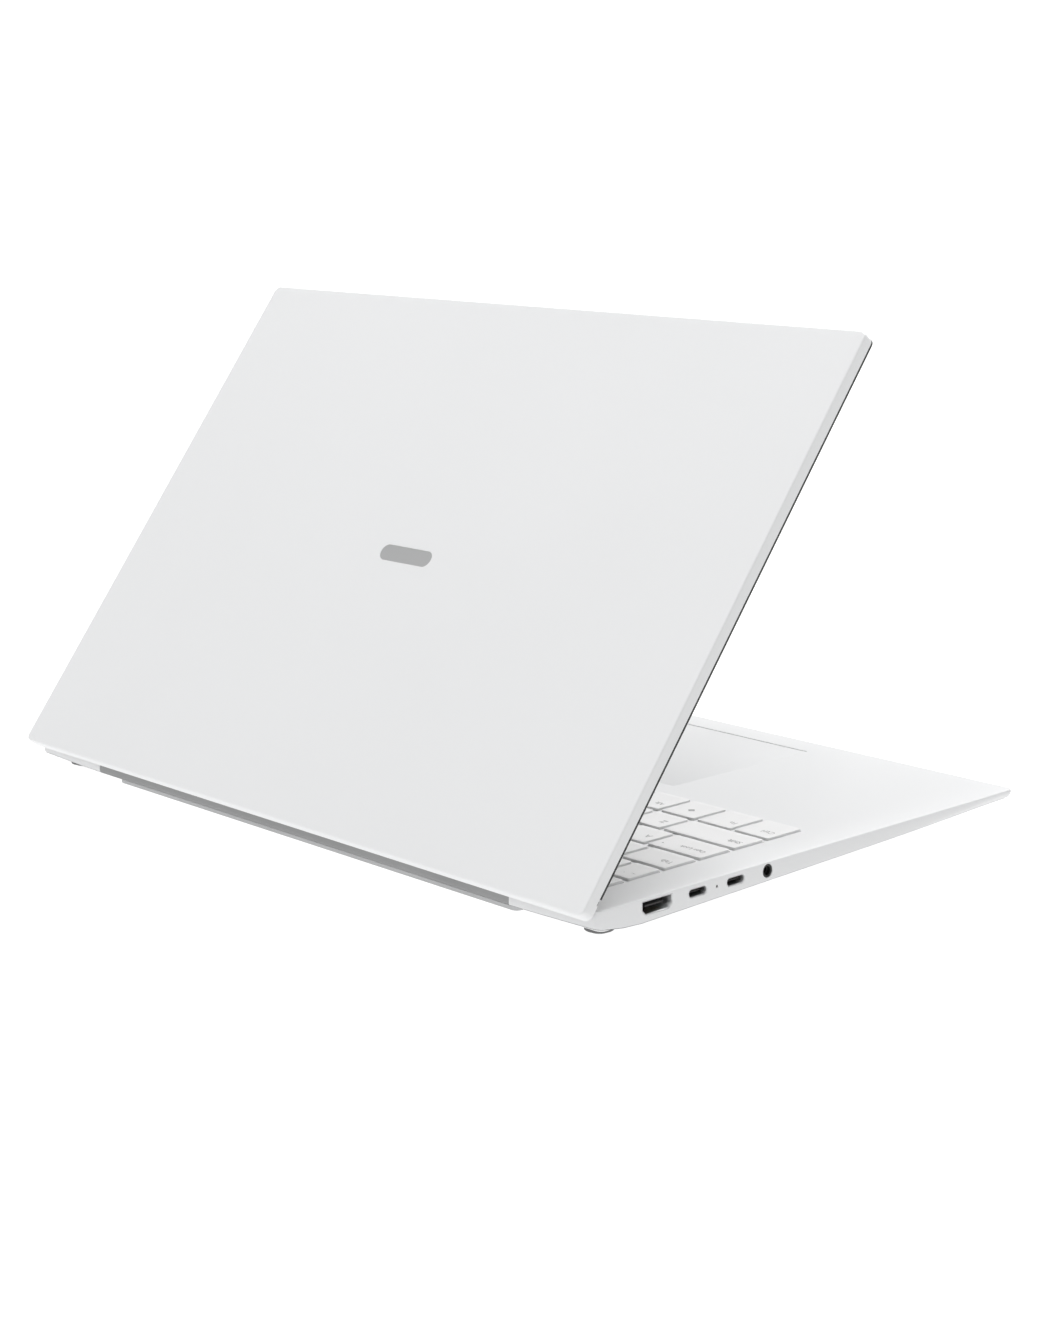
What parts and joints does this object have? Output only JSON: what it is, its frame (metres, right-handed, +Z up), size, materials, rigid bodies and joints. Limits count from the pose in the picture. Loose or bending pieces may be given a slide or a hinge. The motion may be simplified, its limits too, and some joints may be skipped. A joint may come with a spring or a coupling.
{
  "type": "laptop computer",
  "caption": "Thin white laptop with a metal casing, lid partly open on rear drop hinges, raised island keys with a number pad, a wide touchpad, and ports in both side walls.",
  "frame": {"origin": "centre of the bounding box in plan, with the lid open as stored, on the surface that the feet stand on", "axes": "+X to the user's right along the hinge, +Y to the rear, +Z up"},
  "size_m": [0.3558, 0.2464, 0.2055],
  "materials": {
    "casing_white": "satin",
    "key_white": "satin",
    "touchpad_white": "satin",
    "vent_grey": "matte",
    "foot_rubber": "matte",
    "sheet_steel": "satin",
    "port_steel": "satin",
    "hinge_steel": "satin",
    "black_plastic": "satin",
    "gasket_rubber": "matte",
    "strip_grey": "matte",
    "light_lens": "gloss",
    "circuit_board": "satin",
    "battery_wrap": "matte",
    "copper": "satin",
    "screen_glass": "satin",
    "emblem_grey": "satin"
  },
  "bodies": {
    "base": {"top_case": "casing_white", "bottom_cover": "casing_white", "rear_vent": "vent_grey", "foot_front_left": "foot_rubber", "foot_front_right": "foot_rubber", "foot_rear_left": "foot_rubber", "foot_rear_right": "foot_rubber", "foot_rear_bar": "foot_rubber", "keyboard_plate": "sheet_steel", "hdmi_port": "port_steel", "usb_c_port_rear": "port_steel", "usb_c_port_front": "port_steel", "usb_a_port_rear": "port_steel", "usb_a_port_front": "port_steel", "card_slot": "port_steel", "audio_jack": "black_plastic", "charge_light": "light_lens", "motherboard": "circuit_board", "battery": "battery_wrap", "fan_housing": "black_plastic", "heat_spreader": "copper", "heat_pipe": "copper", "heat_sink": "copper", "solid_state_drive": "circuit_board", "wireless_card": "circuit_board", "speaker_left": "black_plastic", "speaker_right": "black_plastic", "hinge_bracket_left": "hinge_steel", "hinge_bracket_right": "hinge_steel"},
    "lid": {"lid_cover": "casing_white", "lid_bezel": "black_plastic", "screen_gasket": "gasket_rubber", "hinge_strip": "strip_grey", "display_panel": "screen_glass", "camera_module": "black_plastic", "lid_emblem": "emblem_grey", "hinge_leaf_left": "hinge_steel", "hinge_leaf_right": "hinge_steel"},
    "key_escape": {"key_escape": "key_white"},
    "key_backquote": {"key_backquote": "key_white"},
    "key_tab": {"key_tab": "key_white"},
    "key_caps_lock": {"key_caps_lock": "key_white"},
    "key_enter": {"key_enter": "key_white"},
    "key_shift_left": {"key_shift_left": "key_white"},
    "key_control_left": {"key_control_left": "key_white"},
    "key_fn": {"key_fn": "key_white"},
    "key_menu": {"key_menu": "key_white"},
    "key_alt_left": {"key_alt_left": "key_white"},
    "key_space": {"key_space": "key_white"},
    "keys_function_row": {"keys_function_row": "key_white"},
    "keys_number_row": {"keys_number_row": "key_white"},
    "keys_upper_letters": {"keys_upper_letters": "key_white"},
    "keys_middle_letters": {"keys_middle_letters": "key_white"},
    "keys_lower_letters": {"keys_lower_letters": "key_white"},
    "keys_right_of_space": {"keys_right_of_space": "key_white"},
    "keys_number_pad": {"keys_number_pad": "key_white"},
    "touchpad": {"touchpad": "touchpad_white"},
    "power_button": {"power_button": "key_white"},
    "fan_rotor": {"fan_rotor": "black_plastic"}
  },
  "joints": [
    {"name": "lid_hinge", "type": "hinge", "parent": "base", "child": "lid", "pos_m": [0, 0.11538, 0.01159], "axis": [-1, 0, 0], "range_deg": [-52.67, 65.33]},
    {"name": "key_escape_press", "type": "slide", "parent": "base", "child": "key_escape", "axis": [0, 0, -1], "range_m": [0, 0.0015], "stiffness_N_per_m": 400},
    {"name": "key_backquote_press", "type": "slide", "parent": "base", "child": "key_backquote", "axis": [0, 0, -1], "range_m": [0, 0.0015], "stiffness_N_per_m": 400},
    {"name": "key_tab_press", "type": "slide", "parent": "base", "child": "key_tab", "axis": [0, 0, -1], "range_m": [0, 0.0015], "stiffness_N_per_m": 400},
    {"name": "key_caps_lock_press", "type": "slide", "parent": "base", "child": "key_caps_lock", "axis": [0, 0, -1], "range_m": [0, 0.0015], "stiffness_N_per_m": 400},
    {"name": "key_enter_press", "type": "slide", "parent": "base", "child": "key_enter", "axis": [0, 0, -1], "range_m": [0, 0.0015], "stiffness_N_per_m": 400},
    {"name": "key_shift_left_press", "type": "slide", "parent": "base", "child": "key_shift_left", "axis": [0, 0, -1], "range_m": [0, 0.0015], "stiffness_N_per_m": 400},
    {"name": "key_control_left_press", "type": "slide", "parent": "base", "child": "key_control_left", "axis": [0, 0, -1], "range_m": [0, 0.0015], "stiffness_N_per_m": 400},
    {"name": "key_fn_press", "type": "slide", "parent": "base", "child": "key_fn", "axis": [0, 0, -1], "range_m": [0, 0.0015], "stiffness_N_per_m": 400},
    {"name": "key_menu_press", "type": "slide", "parent": "base", "child": "key_menu", "axis": [0, 0, -1], "range_m": [0, 0.0015], "stiffness_N_per_m": 400},
    {"name": "key_alt_left_press", "type": "slide", "parent": "base", "child": "key_alt_left", "axis": [0, 0, -1], "range_m": [0, 0.0015], "stiffness_N_per_m": 400},
    {"name": "key_space_press", "type": "slide", "parent": "base", "child": "key_space", "axis": [0, 0, -1], "range_m": [0, 0.0015], "stiffness_N_per_m": 400},
    {"name": "keys_function_row_press", "type": "slide", "parent": "base", "child": "keys_function_row", "axis": [0, 0, -1], "range_m": [0, 0.0015], "stiffness_N_per_m": 3200},
    {"name": "keys_number_row_press", "type": "slide", "parent": "base", "child": "keys_number_row", "axis": [0, 0, -1], "range_m": [0, 0.0015], "stiffness_N_per_m": 2600},
    {"name": "keys_upper_letters_press", "type": "slide", "parent": "base", "child": "keys_upper_letters", "axis": [0, 0, -1], "range_m": [0, 0.0015], "stiffness_N_per_m": 2600},
    {"name": "keys_middle_letters_press", "type": "slide", "parent": "base", "child": "keys_middle_letters", "axis": [0, 0, -1], "range_m": [0, 0.0015], "stiffness_N_per_m": 2200},
    {"name": "keys_lower_letters_press", "type": "slide", "parent": "base", "child": "keys_lower_letters", "axis": [0, 0, -1], "range_m": [0, 0.0015], "stiffness_N_per_m": 2200},
    {"name": "keys_right_of_space_press", "type": "slide", "parent": "base", "child": "keys_right_of_space", "axis": [0, 0, -1], "range_m": [0, 0.0015], "stiffness_N_per_m": 1200},
    {"name": "keys_number_pad_press", "type": "slide", "parent": "base", "child": "keys_number_pad", "axis": [0, 0, -1], "range_m": [0, 0.0015], "stiffness_N_per_m": 3400},
    {"name": "touchpad_press", "type": "slide", "parent": "base", "child": "touchpad", "axis": [0, 0, -1], "range_m": [0, 0.0003], "stiffness_N_per_m": 8000},
    {"name": "power_button_press", "type": "slide", "parent": "base", "child": "power_button", "axis": [0, 0, -1], "range_m": [0, 0.0004], "stiffness_N_per_m": 1500},
    {"name": "fan_spin", "type": "hinge", "parent": "base", "child": "fan_rotor", "pos_m": [0.06, 0.06485, 0.0059], "axis": [0, 0, 1], "continuous": true}
  ]
}
